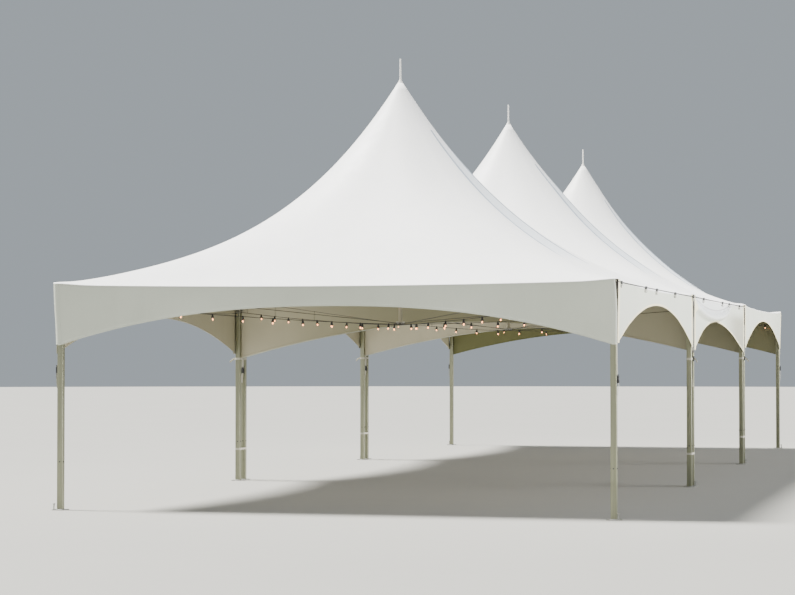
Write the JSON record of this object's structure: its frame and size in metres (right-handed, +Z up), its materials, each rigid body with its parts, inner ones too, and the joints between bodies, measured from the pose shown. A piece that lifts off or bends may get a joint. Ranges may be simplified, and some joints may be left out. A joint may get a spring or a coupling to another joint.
{
  "type": "high peak frame marquee tent",
  "caption": "High peak frame marquee: white peaked canopies in a row on slim aluminium legs, open sides with arched valances, flying masts on crossed cables and strings of round bulbs.",
  "frame": {"origin": "on the ground at the middle of the row's plan", "axes": "+X across the row to the right as seen from the front end, +Y along the row to the back, +Z up"},
  "size_m": [6.1614, 18.6334, 5.275],
  "materials": {
    "roof_vinyl": "satin coated vinyl",
    "valance_vinyl": "satin coated vinyl",
    "aluminium": "mill, dull",
    "mast_aluminium": "mill, dull",
    "steel_cable": "galvanised wire rope",
    "black_rubber": "matt"
  },
  "bodies": {
    "root": {"canopy_front": "roof_vinyl", "valance_front_front": "valance_vinyl", "rail_front_front": "aluminium", "valance_front_right": "valance_vinyl", "rail_front_right": "aluminium", "valance_front_back": "valance_vinyl", "rail_front_back": "aluminium", "valance_front_left": "valance_vinyl", "rail_front_left": "aluminium", "leg_front_front_left": "aluminium", "leg_front_front_right": "aluminium", "leg_front_back_right": "aluminium", "leg_front_back_left": "aluminium", "mast_front": "mast_aluminium", "cable_front_from_left": "steel_cable", "cable_front_from_right": "steel_cable", "light_cord_front": "black_rubber", "canopy_middle": "roof_vinyl", "valance_middle_front": "valance_vinyl", "rail_middle_front": "aluminium", "valance_middle_right": "valance_vinyl", "rail_middle_right": "aluminium", "valance_middle_back": "valance_vinyl", "rail_middle_back": "aluminium", "valance_middle_left": "valance_vinyl", "rail_middle_left": "aluminium", "leg_middle_front_left": "aluminium", "leg_middle_front_right": "aluminium", "leg_middle_back_right": "aluminium", "leg_middle_back_left": "aluminium", "mast_middle": "mast_aluminium", "cable_middle_from_left": "steel_cable", "cable_middle_from_right": "steel_cable", "light_cord_middle": "black_rubber", "canopy_rear": "roof_vinyl", "valance_rear_front": "valance_vinyl", "rail_rear_front": "aluminium", "valance_rear_right": "valance_vinyl", "rail_rear_right": "aluminium", "valance_rear_back": "valance_vinyl", "rail_rear_back": "aluminium", "valance_rear_left": "valance_vinyl", "rail_rear_left": "aluminium", "leg_rear_front_left": "aluminium", "leg_rear_front_right": "aluminium", "leg_rear_back_right": "aluminium", "leg_rear_back_left": "aluminium", "mast_rear": "mast_aluminium", "cable_rear_from_left": "steel_cable", "cable_rear_from_right": "steel_cable", "light_cord_rear": "black_rubber", "gutter_front_middle": "valance_vinyl", "gutter_middle_rear": "valance_vinyl", "light_cord_outside": "black_rubber"}
  },
  "joints": []
}
